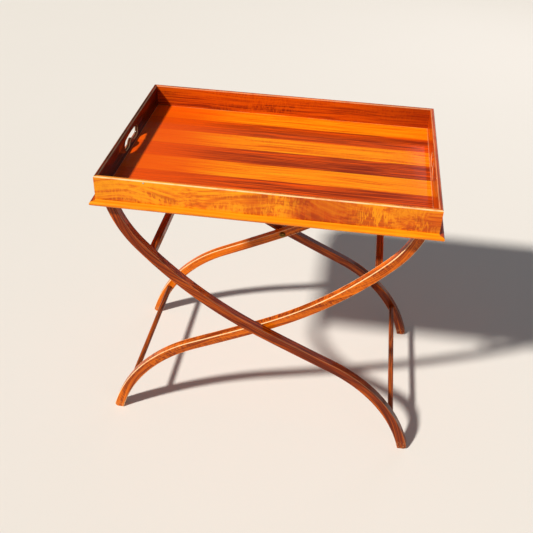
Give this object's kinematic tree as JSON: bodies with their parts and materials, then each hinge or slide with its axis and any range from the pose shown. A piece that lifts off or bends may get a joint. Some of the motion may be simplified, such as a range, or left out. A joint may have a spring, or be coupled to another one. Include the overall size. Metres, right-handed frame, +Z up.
{
  "type": "folding tray table",
  "caption": "Lift-off rectangular mahogany tray with hand holes and a striped floor, on a folding stand of crossed ogee legs joined by rails and stretchers.",
  "frame": {"origin": "on the floor, under the middle of the table", "axes": "+X along the tray to the right, +Y to the back, +Z up"},
  "size_m": [0.7062, 0.478, 0.66],
  "materials": {
    "side_mahogany": "gloss lacquer, figured",
    "lip_mahogany": "gloss lacquer",
    "light_mahogany": "gloss lacquer",
    "dark_mahogany": "gloss lacquer",
    "leg_mahogany": "satin lacquer",
    "rail_mahogany": "satin lacquer",
    "brass": "aged",
    "pin_steel": "bright",
    "webbing": "woven cotton webbing"
  },
  "bodies": {
    "outer_frame": {"outer_front_leg": "leg_mahogany", "outer_rear_leg": "leg_mahogany", "outer_upper_rail": "rail_mahogany", "outer_lower_stretcher": "rail_mahogany", "outer_strap_tacks": "brass", "front_pivot_screw": "brass", "rear_pivot_screw": "brass", "pivot_washers": "brass", "strap": "webbing"},
    "inner_frame": {"inner_front_leg": "leg_mahogany", "inner_rear_leg": "leg_mahogany", "inner_upper_rail": "rail_mahogany", "inner_lower_stretcher": "rail_mahogany", "inner_strap_tacks": "brass"},
    "tray": {"tray_front_side": "side_mahogany", "tray_rear_side": "side_mahogany", "tray_left_end": "side_mahogany", "tray_right_end": "side_mahogany", "front_lip": "lip_mahogany", "rear_lip": "lip_mahogany", "left_lip": "lip_mahogany", "right_lip": "lip_mahogany", "floor_board_1": "light_mahogany", "floor_board_2": "dark_mahogany", "floor_board_3": "light_mahogany", "floor_board_4": "dark_mahogany", "floor_board_5": "light_mahogany", "floor_board_6": "dark_mahogany", "floor_board_7": "light_mahogany", "lip_pins": "pin_steel", "rim_pin": "pin_steel"}
  },
  "joints": [
    {"name": "fold", "type": "hinge", "parent": "outer_frame", "child": "inner_frame", "pos_m": [0, 0, 0.3035], "axis": [0, -1, 0], "range_deg": [0, 100], "deforming": ["strap"]},
    {"name": "tray_lift", "type": "slide", "parent": "outer_frame", "child": "tray", "axis": [0, 0, 1], "range_m": [0, 0.63]}
  ],
  "couplings": [
    {"joint": "tray_lift", "follows": "fold", "m_per_rad": 0.36}
  ]
}
